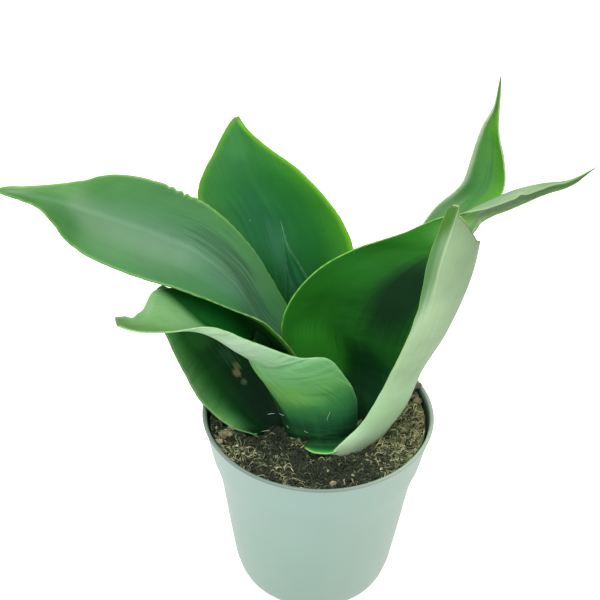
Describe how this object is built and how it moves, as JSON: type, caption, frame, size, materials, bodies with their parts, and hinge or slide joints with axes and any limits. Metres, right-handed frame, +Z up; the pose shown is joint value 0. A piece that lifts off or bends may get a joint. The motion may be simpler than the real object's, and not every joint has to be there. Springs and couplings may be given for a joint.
{
  "type": "potted snake plant",
  "caption": "Young snake plant with broad cupped and twisted leaves standing in dark soil in a thin tapered nursery pot.",
  "frame": {"origin": "centre of the pot's flat foot, on the surface the pot stands on", "axes": "+Z up along the pot's axis, +Y away from the viewer of the picture, +X to the viewer's right; the long left leaf points to -X"},
  "size_m": [0.3018, 0.1236, 0.273],
  "materials": {
    "pot_plastic": "satin pale blue-green injection-moulded plastic",
    "potting_soil": "dark loose peat and coir",
    "leaf_green": "waxy leaf, dark green inside and pale grey-green outside"
  },
  "bodies": {
    "root": {"pot": "pot_plastic", "soil": "potting_soil", "leaf_back": "leaf_green", "leaf_spear": "leaf_green", "leaf_left_long": "leaf_green", "leaf_right_long": "leaf_green", "leaf_front_twisted": "leaf_green", "leaf_front_left": "leaf_green", "leaf_front_right": "leaf_green", "leaf_back_right": "leaf_green"}
  },
  "joints": []
}
